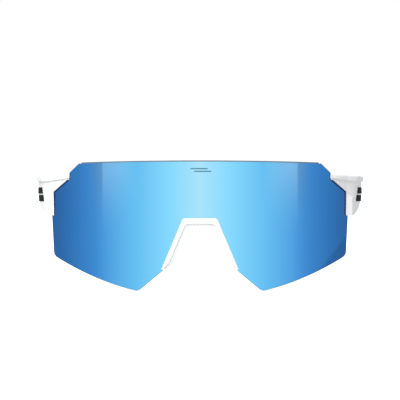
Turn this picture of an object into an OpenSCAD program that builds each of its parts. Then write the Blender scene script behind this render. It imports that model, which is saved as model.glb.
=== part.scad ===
// Wraparound sport sunglasses with one cylindrical shield lens.
// They stand as they do on a table: on the lens's two lower tips and the two ear tips.
// Each piece is drawn square to the lens (X sideways, Y back, Z up, lens tips at zero),
// and stand() then leans it back by the stance angle. Left is the wearer's left, at +X.

/* [Lens] */
// Radius of the lens's front face, a cylinder with its axis upright
lens_r = 84; // [80:1:100]
// Thickness of the lens
lens_t = 2; // [1.6:0.1:2.4]
// Height of the lens, from its lower tips to the middle of its top edge
lens_h = 57.2; // [54:0.2:68.8]
// Half of the lens's width, square on
lens_half_w = 67.3; // [56:0.1:74]
// Fall of the top edge from the middle to its corner
top_crown = 0.6; // [0:0.1:2]
// Length of the bevel at each top corner, sideways
top_bevel_w = 5.1; // [3:0.1:7]
// Fall of the bevel at each top corner
top_bevel_h = 4.7; // [3:0.1:6]
// Distance from the top edge down to the notch that holds an end piece
notch_drop = 7.5; // [7:0.1:9]
// Width of the notch
notch_w = 7.6; // [7:0.1:10]
// Height of the notch
notch_h = 16.9; // [15:0.1:20]
// Height of the slanting part of the notch
notch_slope_h = 6.1; // [4:0.1:8]
// Height of the outer lower corner above the tips
cheek_z = 14.6; // [10:0.1:18]
// Distance of each lower tip from the middle
tip_x = 27.4; // [24:0.1:34]
// Bulge of the lower edge below a straight line
cheek_bulge = 1.7; // [0:0.1:3]

/* [End pieces] */
// Width of each end piece's front strip, beside the lens
strip_w = 3; // [2.4:0.1:4]
// How far the front strip falls back over its width
strip_fall = 1.4; // [1:0.1:2.6]
// Distance from the strip's outer corner to the joint
end_l = 4.2; // [3:0.1:5]
// Rise of the end piece's top towards the nose
end_rise = 0.6; // [0:0.1:1.2]
// Height of the end piece's rail at its inner end
rail_start_h = 2.2; // [1.6:0.1:3]
// Thickness of the flange behind the lens
flange_t = 2.2; // [1.8:0.1:2.6]
// Width of the flange behind the lens
flange_w = 12.4; // [12:0.1:14]
// Width of the dark seal between the lens and an end piece
gasket_w = 0.7; // [0.6:0.05:1.1]

/* [Nose piece] */
// Height of the nose opening's top above the tips
nose_top_z = 31.7; // [28:0.1:36]
// Half width of the nose piece at its top
nose_top_x = 7.5; // [6:0.1:9]
// Half width of the nose piece at its feet
nose_foot_x = 17.1; // [15:0.1:20]
// Height of the nose piece's feet above the tips
nose_foot_z = 9.1; // [7:0.1:11]
// Width of the hard bridge's legs, seen from the front
bridge_w = 2.1; // [1.8:0.1:3]
// Height of the hard bridge's top bar, seen from the front
bridge_top_w = 2.7; // [1.8:0.1:3.4]
// How far the bridge's lip stands in front of the lens, and its heel behind
bridge_lip = 0.8; // [0.5:0.1:1.2]
// How far the lens goes into the bridge's groove
groove_d = 1; // [0.6:0.1:1.4]
// Width of the rubber pad's front edge
pad_w = 1.1; // [0.8:0.1:2]
// Depth of the rubber pad from front to back
pad_depth = 10; // [7:0.5:12]
// How far the pad's legs spread towards the back
pad_flare = 3; // [1:0.2:4]

/* [Arms] */
// Length of each arm from its joint to the end of its tip
arm_l = 118; // [96:1:142]
// Thickness of the arm
arm_t = 3.2; // [2.6:0.1:4]
// Height of the arm at its middle
arm_h = 11; // [9:0.2:13]
// How far the arm bows out beyond the end piece's corner
arm_bow = 5.9; // [3:0.1:8]
// Distance from the end piece's corner to where the arm stands out most
bow_l = 28.2; // [24:0.2:34]
// Radius of the arm's inward curve, seen from above
arm_curve_r = 220; // [200:5:400]
// Distance from the joint to the bend behind the ear
ear_l = 68; // [56:1:80]
// Height of the rail along the arm's top
rail_h = 3; // [2:0.1:3.6]
// How far the rail stands out
rail_out = 0.8; // [0.4:0.1:1.2]
// Gap between an arm and its end piece
arm_gap = 0.3; // [0.3:0.05:0.6]

/* [Ear tips] */
// Distance from the joint to the front of the rubber tip
sock_l = 60; // [50:1:68]
// Thickness of the rubber tip
sock_t = 4.8; // [4.4:0.1:6]
// Half of the height of the rubber tip
sock_r = 4.6; // [4.2:0.1:5.4]
// Thickness of the arm's tongue inside the rubber
tongue_t = 1.8; // [1.4:0.1:2.4]
// Rubber between the tongue's edge and the outside
sock_wall = 1.6; // [1.2:0.1:2.2]

/* [Hinges] */
// Radius of the hinge barrel
barrel_r = 1.6; // [1.4:0.02:2]
// Height of each outer knuckle
knuckle_h = 2.6; // [2:0.1:3]
// Height of the middle knuckle
middle_h = 3.1; // [2.4:0.1:4]
// Radius of the hinge screw
pin_r = 0.7; // [0.5:0.05:0.8]
// Radial clearance of the knuckles on the screw
pin_clear = 0.05; // [0.02:0.01:0.1]
// Thickness of each hinge washer
washer_t = 0.3; // [0.2:0.05:0.5]
// Thickness of the hinge leaves
leaf_t = 1.1; // [0.8:0.1:1.4]
// Length of the hinge leaves beyond the barrel
leaf_l = 7; // [6:0.2:8]

/* [Stance] */
// How far the glasses lean back when they stand on a table
stance = 6; // [3:0.5:8]

/* [Hidden] */
$fn = 180;
fine = 32;
far = 400;

// ---- outline helpers: corners are [across, up, rounding radius] ----
function flat(p) = [p[0], p[1]];
function dir(a, b) = (b - a) / norm(b - a);
function left_of(d) = [-d[1], d[0]];
function turn(angle) = [cos(angle), sin(angle)];
function angle_of(v) = atan2(v[1], v[0]);
function wrapped(angle) = angle > 180 ? angle - 360 : angle < -180 ? angle + 360 : angle;
// Offset of a corner whose two sides have the unit normals m and n
function mitre(m, n) = (m + n) / (1 + m * n);
function corner_arc(a, b, c, r, steps) =
    let(u = dir(b, a), v = dir(b, c), half = acos(u * v) / 2,
        cut = min(r / tan(half), 0.48 * norm(a - b), 0.48 * norm(c - b)),
        centre = b + (u + v) / norm(u + v) * cut / cos(half),
        start = angle_of(b + u * cut - centre),
        sweep = wrapped(angle_of(b + v * cut - centre) - start))
    [for (i = [0:steps]) centre + cut * tan(half) * turn(start + sweep * i / steps)];
function rounded(p) =
    [for (i = [0:len(p) - 1])
        each p[i][2] == 0 ? [flat(p[i])]
            : corner_arc(flat(p[(i + len(p) - 1) % len(p)]), flat(p[i]), flat(p[(i + 1) % len(p)]),
                         p[i][2], p[i][2] > 3 ? 8 : 4)];
function both_sides(half) = concat(half, [for (i = [len(half) - 1:-1:0])
    [-half[i][0], half[i][1], half[i][2]]]);

// ---- the lens's front view ----
// Each notch's wall stands this far inside the lens's widest point
notch_step = 1;
shoulder_in = 0.3;
edge_x = lens_half_w - notch_step;
notch_top = [edge_x - notch_w, lens_h - notch_drop];
notch_bend = [edge_x, notch_top[1] - notch_slope_h];
notch_floor = notch_top[1] - notch_h;
bevel_end = [notch_top[0] + shoulder_in, lens_h - top_crown - top_bevel_h];
top_corner = [bevel_end[0] - top_bevel_w, lens_h - top_crown];
slope_in = -left_of(dir(notch_top, notch_bend));
shoulder_dir = dir(bevel_end, notch_top);
seal_top = notch_top + shoulder_dir * gasket_w / (shoulder_dir * slope_in);
seal_bend = notch_bend + gasket_w * mitre([-1, 0], slope_in);
tip_corner = [tip_x, -0.6];
cheek = [edge_x, cheek_z];
// The nose piece's outer edge runs from its foot up the side and across the top
foot = [nose_foot_x, nose_foot_z];
brow = [nose_top_x, nose_top_z];
leg_dir = dir(foot, brow);
leg_in = left_of(leg_dir);
// The brow's corner moved in by `side` from a leg and by `top` from the top bar
function brow_at(side, top) = brow + [(side + top * leg_in[1]) / leg_in[0], -top];
crown_steps = 6;
bulge_steps = 8;
lens_outline = both_sides(concat(
    [for (i = [1:crown_steps - 1]) let(t = i / crown_steps)
        [top_corner[0] * t, lens_h - top_crown * t * t, 0]],
    [[top_corner[0], top_corner[1], 4],
     [bevel_end[0], bevel_end[1], 0.4],
     [seal_top[0], seal_top[1], 0],
     [seal_bend[0], seal_bend[1], 0],
     [seal_bend[0], notch_floor, 0],
     [lens_half_w, notch_floor, 0.3],
     [cheek[0], cheek[1], 6]],
    [for (i = [1:bulge_steps - 1]) let(t = i / bulge_steps, p = cheek + (tip_corner - cheek) * t)
        [p[0], p[1] - cheek_bulge * 4 * t * (1 - t), 0]],
    [[tip_corner[0], tip_corner[1], 6.3],
     [foot[0] + leg_in[0] * groove_d, foot[1] + leg_in[1] * groove_d, 0.4],
     [brow_at(groove_d, groove_d)[0], brow_at(groove_d, groove_d)[1], 1]]));
function lens_y(x, r = lens_r) = lens_r - sqrt(r * r - x * x);
lens_back_r = lens_r - lens_t;
lens_back_y = lens_y(edge_x, lens_back_r);

// ---- the arms seen from above: an arc that bows out, then one that curves in ----
flange_r = lens_back_r - flange_t;
edge_y = lens_y(edge_x);
strip_start = [edge_x, edge_y + 0.2];
corner = [edge_x + strip_w, edge_y + strip_fall];
crest = corner + [arm_bow, bow_l];
bow_r = (arm_bow * arm_bow + bow_l * bow_l) / (2 * arm_bow);
bow_centre = [crest[0] - bow_r, crest[1]];
curve_centre = [crest[0] - arm_curve_r, crest[1]];
joint_y = corner[1] + end_l;
arm_y = joint_y + arm_gap;
// The hinge's axis, inside the lens's edge and behind the joint
hinge_in = 0.7;
hinge_back = 2.6;
hinge_x = edge_x - hinge_in;
hinge_y = joint_y + hinge_back;

// ---- the arms seen from the side ----
// Falls of the arm's top below the lens's, and of its middle at the ear below that
top_drop = 6.1;
ear_drop = 6.7;
plate_lift = 0.4;
arm_top = lens_h - top_drop;
plate_low = notch_floor + plate_lift;
ear = [joint_y + ear_l, arm_top - ear_drop];
lens_low = min([for (p = rounded(lens_outline))
    p[1] * cos(stance) - lens_y(p[0], lens_back_r) * sin(stance)]);
tip_y = joint_y + arm_l - sock_r;
tip_z = (lens_low + sock_r + tip_y * sin(stance)) / cos(stance);
tip_centre = [tip_y, tip_z];
arm_run = dir([joint_y, ear[1] + 1], ear);
tip_run = dir(ear, tip_centre);
ear_out = mitre(left_of(arm_run), left_of(tip_run));
// The arm's lower edge stays low over its belly and then climbs to its waist
belly_l = 6;
belly_rise = 2.2;
waist_l = 14;
// w is half the height at the ear, end_w at the tip
function arm_outline(w, end_w) = rounded([
    [arm_y, plate_low, 0],
    [joint_y + belly_l, plate_low + belly_rise, 6],
    [joint_y + waist_l, arm_top - arm_h - 0.1, 10],
    [ear[0] - ear_out[0] * w, ear[1] - ear_out[1] * w, 40],
    [tip_y + (tip_run[0] + tip_run[1]) * end_w, tip_z + (tip_run[1] - tip_run[0]) * end_w, end_w],
    [tip_y + (tip_run[0] - tip_run[1]) * end_w, tip_z + (tip_run[1] + tip_run[0]) * end_w, end_w],
    [ear[0] + ear_out[0] * w, ear[1] + ear_out[1] * w, 50],
    [arm_y, arm_top, 0]]);
sock_y = joint_y + sock_l;

// ---- hinge heights, from the bottom knuckle up ----
play = 0.05;
hinge_h = 2 * knuckle_h + 2 * washer_t + 2 * play + middle_h;
hinge_z = (plate_low + arm_top) / 2 - hinge_h / 2;
middle_z = hinge_z + knuckle_h + washer_t + play;
upper_z = hinge_z + hinge_h - knuckle_h;
leaf_start = barrel_r + 0.6;
leaf_inner = -0.3;
temple_leaf_x = barrel_r + 0.3 - leaf_t;
// The front leaf lies along the flange's back where the leaf's near end meets it
leaf_reach = 3.4;
leaf_turn = 180 + asin((hinge_x - leaf_reach) / flange_r);
screw_r = 0.5;
head_r = 2 * screw_r;
head_h = 0.45;
screw_u = leaf_start + leaf_l / 2;
screw_in = 2.2;
screw_zs = [hinge_z + screw_in, hinge_z + hinge_h - screw_in];
screw_depth = 1.8;
// Pegs on the flange that locate the lens
peg_r = 0.95;
peg_clear = 0.05;
peg_spots = [[edge_x - 9.3, notch_top[1] - 4.2], [edge_x - 5.8, notch_floor + 4]];

// ---- where the glasses stand ----
rear_y = tip_y * cos(stance) + tip_z * sin(stance) + sock_r;
front_y = lens_y(nose_foot_x, lens_r + bridge_lip) * cos(stance) + nose_foot_z * sin(stance);
module stand() {
    translate([0, -(front_y + rear_y) / 2, -lens_low]) rotate([-stance, 0, 0]) children();
}
module on_side(side) {
    stand() mirror([side < 0 ? 1 : 0, 0, 0]) children();
}

// ---- solids from views ----
module front_view(points, y0 = -5, y1 = 70) {
    translate([0, y1, 0]) rotate([90, 0, 0]) linear_extrude(y1 - y0) polygon(points);
}
module side_view(points, x0 = 20, x1 = 100) {
    translate([x0, 0, 0]) rotate([90, 0, 90]) linear_extrude(x1 - x0) polygon(points);
}
module disc(centre, r) {
    translate([centre[0], centre[1], -far / 2]) cylinder(r = r, h = far);
}
module lens_ring(outer, inner) {
    difference() {
        disc([0, lens_r], outer);
        disc([0, lens_r], inner);
    }
}
module lens_blank() {
    intersection() {
        lens_ring(lens_r, lens_back_r);
        front_view(rounded(lens_outline));
    }
}
// The arm's wall between `out` outside its face and `deep` inside it
module arm_wall(out, deep) {
    intersection() {
        difference() {
            disc(bow_centre, bow_r + out);
            disc(bow_centre, bow_r - deep);
        }
        translate([0, crest[1] - 40, -far / 2]) cube([far, 40, far]);
    }
    intersection() {
        difference() {
            disc(curve_centre, arm_curve_r + out);
            disc(curve_centre, arm_curve_r - deep);
        }
        translate([0, crest[1], -far / 2]) cube([far, far, far]);
    }
}
module between_y(y0, y1) {
    intersection() {
        union() children();
        translate([-far / 2, y0, -far / 2]) cube([far, y1 - y0, far]);
    }
}
module peg(spot, r, from, to) {
    translate([0, lens_r, spot[1]]) rotate([0, 0, asin(spot[0] / lens_r) - 90]) rotate([0, 90, 0])
        translate([0, 0, from]) cylinder(r = r, h = to - from, $fn = fine);
}
// Frame of a front leaf: X runs along the end piece's back towards the nose, Y points outwards
module at_front_leaf() {
    translate([hinge_x, hinge_y, 0]) rotate([0, 0, leaf_turn]) children();
}
module at_temple_leaf() {
    translate([hinge_x, hinge_y, 0]) children();
}
module upright(r, z, h) {
    translate([0, 0, z]) cylinder(r = r, h = h, $fn = fine);
}
// A hole or shank across a leaf: along Y for the front leaf, along X for the temple leaf
module across_front(r, from, length) {
    for (z = screw_zs)
        translate([screw_u, from, z]) rotate([-90, 0, 0]) cylinder(r = r, h = length, $fn = fine);
}
module across_temple(r, from, length) {
    for (z = screw_zs)
        translate([from, screw_u, z]) rotate([0, 90, 0]) cylinder(r = r, h = length, $fn = fine);
}

// ---- lens ----
module lens() {
    color([0.25, 0.6, 0.9]) stand() difference() {
        lens_blank();
        for (spot = peg_spots, side = [0, 1])
            mirror([side, 0, 0]) peg(spot, peg_r + peg_clear, lens_back_r - 1, lens_back_r + 1);
    }
}
module lens_gasket(side) {
    color([0.04, 0.07, 0.14]) on_side(side) intersection() {
        lens_ring(lens_r, lens_back_r);
        front_view([notch_top, seal_top, seal_bend, [seal_bend[0], notch_floor],
                    [edge_x, notch_floor], notch_bend]);
    }
}

// ---- end pieces ----
// The ring part and the flange run this far past the notch's wall into the corner
lap = 0.6;
function roof(x) = arm_top + max(0, corner[0] - x) * end_rise / (corner[0] - bevel_end[0]);
end_view = [[bevel_end[0], roof(bevel_end[0])], notch_top, notch_bend, [edge_x, notch_floor],
            [edge_x + lap, notch_floor], [edge_x + lap, roof(edge_x + lap)]];
roof_view = [[bevel_end[0], notch_floor], [far, notch_floor], [far, arm_top], [corner[0], arm_top],
             [bevel_end[0], roof(bevel_end[0])]];
rail_view = [[bevel_end[0], roof(bevel_end[0]) - rail_start_h], [corner[0], arm_top - rail_h],
             [far, arm_top - rail_h], [far, far], [bevel_end[0], far]];
flange_low = notch_floor + 1.5;
flange_top = notch_top[1] + 0.5;
flange_view = rounded([[edge_x + lap, flange_low, 0], [edge_x - flange_w, flange_low, 2],
                       [edge_x - flange_w, flange_top, 2], [edge_x + lap, flange_top, 0]]);
end_side = [[edge_y - 6, notch_floor], [corner[1] + 0.4, notch_floor], [joint_y, plate_low],
            [joint_y, arm_top + end_rise], [edge_y - 6, arm_top + end_rise]];
strip_out = -left_of(dir(strip_start, corner));
end_wall = 0.8;
module end_corner(out) {
    intersection() {
        disc(bow_centre, bow_r + out);
        translate(out * strip_out) translate([0, 0, -far / 2]) linear_extrude(far)
            polygon([strip_start, corner, [corner[0] + 8, joint_y - out * strip_out[1]],
                     [edge_x - end_wall, joint_y - out * strip_out[1]],
                     [edge_x - end_wall, lens_back_y], [edge_x, lens_back_y]]);
        side_view(end_side);
        front_view(roof_view);
    }
}
// The end piece's rail, on the lens's curve and round the corner
module end_rail() {
    intersection() {
        union() {
            end_corner(rail_out);
            intersection() {
                lens_ring(lens_r + rail_out, lens_r - 1);
                front_view(end_view);
            }
        }
        front_view(rail_view);
    }
}
// Flat seat for the front leaf on the flange's back
module leaf_seat() {
    intersection() {
        at_front_leaf() translate([leaf_start, leaf_inner + leaf_t, hinge_z - 0.5])
            cube([leaf_l + 0.5, 3, hinge_h + 1]);
        disc([0, lens_r], flange_r + 0.5);
    }
}
module end_piece(side) {
    color([0.95, 0.95, 0.95]) on_side(side) difference() {
        between_y(0, joint_y) {
            intersection() {
                lens_ring(lens_r, flange_r);
                front_view(end_view);
            }
            intersection() {
                lens_ring(lens_back_r, flange_r);
                front_view(flange_view);
            }
            end_corner(0);
            end_rail();
            leaf_seat();
            for (spot = peg_spots)
                peg(spot, peg_r, flange_r + 0.5, lens_back_r + 0.9);
        }
        at_front_leaf() across_front(screw_r, leaf_inner + leaf_t - 1, screw_depth + 1);
    }
}

// ---- nose piece ----
module nose_bridge() {
    inner_brow = brow_at(bridge_w, bridge_top_w);
    outer = both_sides([[brow[0], brow[1], 1.2], [foot[0], foot[1], 0.3],
                        [foot[0] + leg_in[0] * bridge_w, foot[1] + leg_in[1] * bridge_w, 0.6],
                        [inner_brow[0], inner_brow[1], 0.8]]);
    color([0.97, 0.97, 0.97]) stand() difference() {
        intersection() {
            lens_ring(lens_r + bridge_lip, lens_back_r - bridge_lip);
            front_view(rounded(outer));
        }
        lens_blank();
    }
}
// The pad's stations, each [x, z, angle of the inward normal, 1 on a leg to 0 at the top]
pad_round = 1;
leg_angle = angle_of(leg_in) + 360;
pad_corner = brow_at(bridge_w + pad_round, bridge_top_w + pad_round);
pad_foot = foot + leg_in * bridge_w + leg_dir * 0.9;
pad_brow = pad_corner - leg_in * pad_round;
leg_steps = 6;
turn_steps = 3;
pad_half = concat(
    [for (i = [0:leg_steps - 1]) let(p = pad_foot + (pad_brow - pad_foot) * i / leg_steps)
        [p[0], p[1], leg_angle, 1]],
    [for (i = [0:turn_steps]) let(a = leg_angle + (270 - leg_angle) * i / turn_steps,
                                  p = pad_corner - pad_round * turn(a))
        [p[0], p[1], a, 1 - i / turn_steps]]);
pad_path = concat(pad_half, [for (i = [len(pad_half) - 1:-1:0]) let(s = pad_half[i])
    [-s[0], s[1], 540 - s[2], s[3]]]);
// One cross-section: [towards the gap, back from the lens's face], spread more on a leg
function pad_section(leg) =
    let(back = pad_depth * (0.6 + 0.4 * leg), heel = lens_t + bridge_lip + 0.3,
        flare = pad_flare * (0.35 + 0.65 * leg))
    [[0, 0.4], [pad_w * 0.6, 0], [pad_w, 0.5], [pad_w, heel], [pad_w - flare, back],
     [-flare - 1, back + 0.2], [-flare - 1.9, back - 1], [-2.2, heel + 0.6], [-1.6, heel], [0, heel]];
module nose_pad() {
    n = len(pad_section(1));
    stations = len(pad_path);
    points = [for (s = pad_path) let(inward = turn(s[2])) for (q = pad_section(s[3]))
        [s[0] + inward[0] * q[0], lens_y(s[0]) + q[1], s[1] + inward[1] * q[0]]];
    sides = [for (i = [0:stations - 2], k = [0:n - 1])
        [i * n + k, i * n + (k + 1) % n, (i + 1) * n + (k + 1) % n, (i + 1) * n + k]];
    ends = [[for (k = [n - 1:-1:0]) k], [for (k = [0:n - 1]) (stations - 1) * n + k]];
    color([0.86, 0.87, 0.88]) stand() polyhedron(points, concat(sides, ends));
}

// ---- hinges ----
module hinge_front_leaf(side) {
    color([0.7, 0.71, 0.73]) on_side(side) at_front_leaf() difference() {
        union() {
            translate([leaf_start, leaf_inner, hinge_z]) cube([leaf_l, leaf_t, hinge_h]);
            for (z = [hinge_z, upper_z]) {
                upright(barrel_r, z, knuckle_h);
                translate([0, leaf_inner, z]) cube([leaf_start + 1, leaf_t, knuckle_h]);
            }
        }
        upright(pin_r, hinge_z - 1, knuckle_h + 2);
        upright(pin_r + pin_clear, upper_z - 1, knuckle_h + 2);
        across_front(screw_r, leaf_inner - 1, leaf_t + 2);
    }
}
module hinge_temple_leaf(side) {
    color([0.7, 0.71, 0.73]) on_side(side) intersection() {
        at_temple_leaf() difference() {
            union() {
                translate([temple_leaf_x, leaf_start, hinge_z]) cube([leaf_t, leaf_l, hinge_h]);
                upright(barrel_r, middle_z, middle_h);
                translate([temple_leaf_x, 0, middle_z]) cube([leaf_t, leaf_start + 1, middle_h]);
            }
            upright(pin_r + pin_clear, middle_z - 1, middle_h + 2);
            across_temple(screw_r, temple_leaf_x - 1, leaf_t + 2);
        }
        arm_side();
    }
}
module hinge_screw(side) {
    cap_r = barrel_r - 0.35;
    cap_z = hinge_z + hinge_h;
    cap_h = 0.8;
    slot_w = 0.4;
    color([0.55, 0.56, 0.58]) on_side(side) at_temple_leaf() difference() {
        union() {
            upright(pin_r, hinge_z + 0.2, hinge_h - 0.2);
            upright(cap_r, cap_z, cap_h);
        }
        translate([-cap_r, -slot_w / 2, cap_z + cap_h / 2]) cube([2 * cap_r, slot_w, cap_h]);
    }
}
module hinge_washers(side) {
    color([0.2, 0.2, 0.22]) on_side(side) at_temple_leaf()
        for (z = [hinge_z + knuckle_h, upper_z - washer_t])
            difference() {
                upright(barrel_r - 0.05, z, washer_t);
                upright(pin_r + pin_clear, z - 1, washer_t + 2);
            }
}
module front_leaf_screws(side) {
    color([0.5, 0.5, 0.52]) on_side(side) at_front_leaf() {
        across_front(screw_r, leaf_inner, leaf_t + screw_depth);
        across_front(head_r, leaf_inner - head_h, head_h);
    }
}
module temple_leaf_screws(side) {
    color([0.5, 0.5, 0.52]) on_side(side) at_temple_leaf() {
        across_temple(screw_r, temple_leaf_x, leaf_t + screw_depth);
        across_temple(head_r, temple_leaf_x - head_h, head_h);
    }
}

// ---- arms ----
module arm_side() {
    side_view(arm_outline(sock_r - 0.2, sock_r - 0.2));
}
rail_end = sock_y - 6;
rail_fall = 0.8;
block_rim = 0.6;
module temple(side) {
    color([0.95, 0.95, 0.95]) on_side(side) difference() {
        union() {
            between_y(arm_y, sock_y) intersection() {
                arm_wall(0, arm_t);
                arm_side();
            }
            between_y(sock_y - 1, tip_y + sock_r) intersection() {
                arm_wall(-(arm_t - tongue_t) / 2, (arm_t + tongue_t) / 2);
                side_view(arm_outline(sock_r - sock_wall, sock_r - sock_wall));
            }
            between_y(arm_y, rail_end) intersection() {
                arm_wall(rail_out, 1);
                side_view([[arm_y - 1, arm_top - rail_h], [rail_end, arm_top - rail_h * 0.9],
                           [rail_end, arm_top - rail_fall], [arm_y - 1, arm_top]]);
            }
            intersection() {
                translate([temple_leaf_x + leaf_t + hinge_x, arm_y, hinge_z - block_rim])
                    cube([8, hinge_y - arm_y + leaf_start + leaf_l + 1, hinge_h + 2 * block_rim]);
                disc(bow_centre, bow_r - 1);
                arm_side();
            }
        }
        at_temple_leaf() across_temple(screw_r, temple_leaf_x + leaf_t - 1, screw_depth + 1);
    }
}
module temple_tip(side) {
    color([0.88, 0.89, 0.9]) on_side(side) difference() {
        between_y(sock_y, far) intersection() {
            arm_wall((sock_t - arm_t) / 2, (sock_t + arm_t) / 2);
            side_view(arm_outline(sock_r, sock_r));
        }
        between_y(sock_y - 1, far) intersection() {
            arm_wall(-(arm_t - tongue_t) / 2, (arm_t + tongue_t) / 2);
            side_view(arm_outline(sock_r - sock_wall, sock_r - sock_wall));
        }
    }
}
// Two rows of slanted bars; each row is [first bar's place, count, height of its lower edge]
badge_rows = [[2.8, 4, -8.4], [0.7, 3, -11.9]];
bar_l = 3.3;
bar_h = 2.9;
bar_pitch = 4;
bar_slant = 1.2;
badge_t = 0.25;
module temple_badge(side) {
    color([0.05, 0.05, 0.06]) on_side(side) intersection() {
        arm_wall(badge_t, 0);
        for (row = badge_rows, i = [0:row[1] - 1]) {
            y = joint_y + row[0] + i * bar_pitch;
            z = arm_top + row[2];
            side_view([[y, z], [y + bar_l, z], [y + bar_l + bar_slant, z + bar_h],
                       [y + bar_slant, z + bar_h]]);
        }
    }
}

lens();
lens_gasket(1);  // lens_gasket_left
lens_gasket(-1);  // lens_gasket_right
end_piece(1);  // end_piece_left
end_piece(-1);  // end_piece_right
nose_bridge();
nose_pad();
hinge_front_leaf(1);  // hinge_front_leaf_left
hinge_front_leaf(-1);  // hinge_front_leaf_right
hinge_temple_leaf(1);  // hinge_temple_leaf_left
hinge_temple_leaf(-1);  // hinge_temple_leaf_right
hinge_screw(1);  // hinge_screw_left
hinge_screw(-1);  // hinge_screw_right
hinge_washers(1);  // hinge_washers_left
hinge_washers(-1);  // hinge_washers_right
front_leaf_screws(1);  // front_leaf_screws_left
front_leaf_screws(-1);  // front_leaf_screws_right
temple_leaf_screws(1);  // temple_leaf_screws_left
temple_leaf_screws(-1);  // temple_leaf_screws_right
temple(1);  // temple_left
temple(-1);  // temple_right
temple_tip(1);  // temple_tip_left
temple_tip(-1);  // temple_tip_right
temple_badge(1);  // temple_badge_left
temple_badge(-1);  // temple_badge_right
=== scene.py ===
"""Looks for a pair of wraparound sport sunglasses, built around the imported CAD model.

Each piece is worked out square to the lens (X sideways, Y back, Z up, lens tips at zero)
and then leaned back by the stance angle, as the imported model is.
"""

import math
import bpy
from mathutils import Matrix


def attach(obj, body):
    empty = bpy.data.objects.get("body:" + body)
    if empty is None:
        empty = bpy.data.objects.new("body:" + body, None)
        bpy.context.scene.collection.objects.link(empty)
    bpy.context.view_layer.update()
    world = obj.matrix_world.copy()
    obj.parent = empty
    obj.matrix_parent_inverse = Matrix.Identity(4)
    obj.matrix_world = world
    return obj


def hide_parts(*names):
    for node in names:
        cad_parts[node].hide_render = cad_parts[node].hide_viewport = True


bl_info = {
    "name": "Sport Sunglasses",
    "version": (1, 0, 0),
    "blender": (4, 5, 0),
    "location": "View3D > Sidebar > Sunglasses",
    "description": "Builds the lens, nose piece, arms, hinges and tips of wraparound sunglasses",
    "category": "Object",
}

import bmesh
import bpy
from bpy.props import FloatProperty, FloatVectorProperty, PointerProperty
from mathutils import Matrix, Vector

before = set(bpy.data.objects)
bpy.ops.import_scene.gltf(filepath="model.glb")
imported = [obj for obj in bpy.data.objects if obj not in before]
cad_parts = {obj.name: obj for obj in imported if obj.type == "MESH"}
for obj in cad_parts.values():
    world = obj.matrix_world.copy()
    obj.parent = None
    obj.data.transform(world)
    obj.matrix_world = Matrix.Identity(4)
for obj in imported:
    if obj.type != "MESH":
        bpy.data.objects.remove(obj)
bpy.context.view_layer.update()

MM = 0.001
SIDES = {"left": 1, "right": -1}
LEAN = math.radians(6)
# The lowest point of the leaned lens, and the move back that centres the glasses
LENS_LOW = -0.922925 * MM
STAND_BACK = -79.565 * MM
# The front hinge leaf, from the hinge's axis: its start, its length and its screwed face
LEAF_START = 2.2 * MM
LEAF_LENGTH = 7 * MM
LEAF_FACE = 0.8 * MM
# The nose pad is solid; its rubber gets a faint glow of its own, painted light that brightens
# its shaded faces
PAD_PAINTED_GLOW = 0.2
PLACE = Matrix.Translation((0, STAND_BACK, -LENS_LOW)) @ Matrix.Rotation(-LEAN, 4, "X")


# ---------------------------------------------------------------- sizes and colours
def length(name, description, default):
    return FloatProperty(name=name, description=description, default=default * MM,
                         unit="LENGTH", precision=5)


def colour(name, description, red, green, blue):
    """A colour setting, given as it looks on a screen, from 0 to 255."""
    def linear(level):
        level /= 255
        return level / 12.92 if level < 0.04045 else ((level + 0.055) / 1.055) ** 2.4
    return FloatVectorProperty(name=name, description=description, subtype="COLOR", size=3,
                               min=0, max=1, default=[linear(v) for v in (red, green, blue)])


class LensSettings(bpy.types.PropertyGroup):
    """Sizes and coating of the shield lens"""
    radius: length("Radius", "Radius of the lens's front face", 84)
    thickness: length("Thickness", "Thickness of the lens", 2)
    height: length("Height", "Height from the lower tips to the top edge", 57.2)
    half_width: length("Half width", "Half of the lens's width", 67.3)
    edge: length("Edge", "Width of the polished edge round the lens", 0.12)
    top_edge: length("Top edge", "Width of the polished edge along the top", 0.5)
    # Coat colours from the middle of the lens out to its ends: the coating's own blue, with a
    # painted reflection in their run from pale to deep blue
    centre_coat_and_reflection: colour("Centre", "Coating at the middle of the lens", 171, 228, 252)
    inner_coat_and_reflection: colour("Inner", "Coating beside the middle", 134, 217, 254)
    middle_coat_and_reflection: colour("Middle", "Coating half way out", 99, 190, 241)
    outer_coat_and_reflection: colour("Outer", "Coating where the lens turns back", 62, 140, 214)
    edge_coat_and_reflection: colour("Edge", "Coating at the lens's ends", 34, 101, 176)
    rim_colour: colour("Rim", "Polished edge of the lens", 96, 106, 118)
    back_colour: colour("Back", "Smoked inner face of the lens", 22, 25, 30)


class ArmSettings(bpy.types.PropertyGroup):
    """Sizes of the arms and their rubber tips"""
    thickness: length("Thickness", "Thickness of an arm", 3.2)
    height: length("Height", "Height of an arm at its middle", 11)
    rail_height: length("Rail height", "Height of the rail along an arm's top", 3)
    rail_out: length("Rail", "How far the rail stands out", 1)
    tip_thickness: length("Tip thickness", "Thickness of a rubber tip", 4.8)
    tip_radius: length("Tip radius", "Half of the height of a rubber tip", 4.6)
    edge: length("Edge", "Rounding of an arm's edges", 0.7)


class NoseSettings(bpy.types.PropertyGroup):
    """Sizes of the nose piece"""
    band: length("Band", "Width of the hard bridge's legs", 2.1)
    top_band: length("Top band", "Height of the hard bridge's top bar", 2.7)
    lip: length("Lip", "How far the bridge stands in front of the lens", 0.8)
    pad: length("Pad", "Width of the rubber pad's front edge", 1.1)
    depth: length("Depth", "Depth of the rubber pad", 10)
    flare: length("Flare", "How far the pad's legs spread towards the back", 3)


class EndSettings(bpy.types.PropertyGroup):
    """Sizes of the end pieces beside the lens"""
    rail_height: length("Rail height", "Height of the rail at its inner end", 2.2)
    rise: length("Rise", "Rise of the top towards the nose", 0.6)
    bead: length("Bead", "How far the bead along the notch stands out", 0.4)
    flange_width: length("Flange width", "Width of the flange behind the lens", 12.4)
    flange_thickness: length("Flange thickness", "Thickness of the flange", 2.2)


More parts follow.
